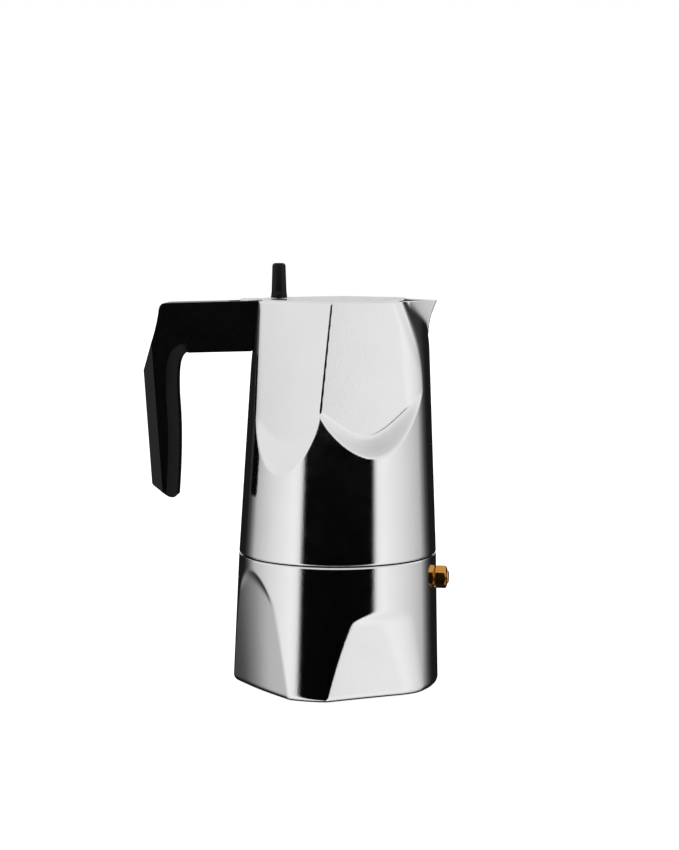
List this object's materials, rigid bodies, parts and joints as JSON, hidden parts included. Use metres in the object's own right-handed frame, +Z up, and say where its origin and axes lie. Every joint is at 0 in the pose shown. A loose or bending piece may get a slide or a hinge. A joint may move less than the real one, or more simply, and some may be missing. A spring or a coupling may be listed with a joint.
{
  "type": "moka pot",
  "caption": "Stovetop coffee pot: tapering two-part aluminium body carved with flat facets, small beak spout, flat hinged lid with slim black knob, angular black handle and brass safety valve.",
  "frame": {"origin": "centre of the flat base, on the axis of the screwed joint, where the pot stands on the hob", "axes": "+Z up the pot's axis, +X towards the spout, -X towards the handle"},
  "size_m": [0.1385, 0.0934, 0.1903],
  "materials": {
    "polished_aluminium": "hand-polished casting with a fine satin grain",
    "spun_aluminium": "spun and pressed sheet, satin",
    "black_plastic": "moulded heat-proof plastic, soft sheen",
    "brass": "turned brass",
    "stainless_steel": "plain stainless steel",
    "gasket_rubber": "matt food-grade rubber"
  },
  "bodies": {
    "boiler": {"boiler": "polished_aluminium", "valve_body": "brass", "valve_washer": "brass", "valve_cap": "brass", "valve_spring": "stainless_steel"},
    "plunger": {"valve_plunger": "stainless_steel"},
    "funnel": {"funnel": "spun_aluminium", "funnel_stem": "spun_aluminium", "funnel_strainer": "spun_aluminium"},
    "seal": {"gasket": "gasket_rubber", "filter_plate": "spun_aluminium"},
    "upper": {"upper_chamber": "polished_aluminium", "coffee_column": "spun_aluminium", "handle": "black_plastic", "handle_screw": "stainless_steel", "lid_hinge_pin": "stainless_steel"},
    "lid": {"lid": "polished_aluminium", "knob": "black_plastic", "knob_insert": "brass", "knob_screw": "stainless_steel"}
  },
  "joints": [
    {"name": "valve_lift", "type": "slide", "parent": "boiler", "child": "plunger", "axis": [0.9945, -0.1045, 0], "range_m": [0, 0.0015], "stiffness_N_per_m": 800, "deforming": ["valve_spring"]},
    {"name": "funnel_lift", "type": "slide", "parent": "boiler", "child": "funnel", "axis": [0, 0, 1], "range_m": [0, 0.075]},
    {"name": "unscrew_rise", "type": "slide", "parent": "funnel", "child": "seal", "axis": [0, 0, 1], "range_m": [0, 0.0091]},
    {"name": "unscrew_turn", "type": "hinge", "parent": "seal", "child": "upper", "pos_m": [0, 0, 0.0595], "axis": [0, 0, 1], "range_deg": [0, 1080]},
    {"name": "lid_hinge", "type": "hinge", "parent": "upper", "child": "lid", "pos_m": [-0.041, 0, 0.1714], "axis": [0, -1, 0], "range_deg": [0, 105]}
  ],
  "couplings": [
    {"joint": "unscrew_rise", "follows": "unscrew_turn", "m_per_rad": 0.00047746}
  ]
}
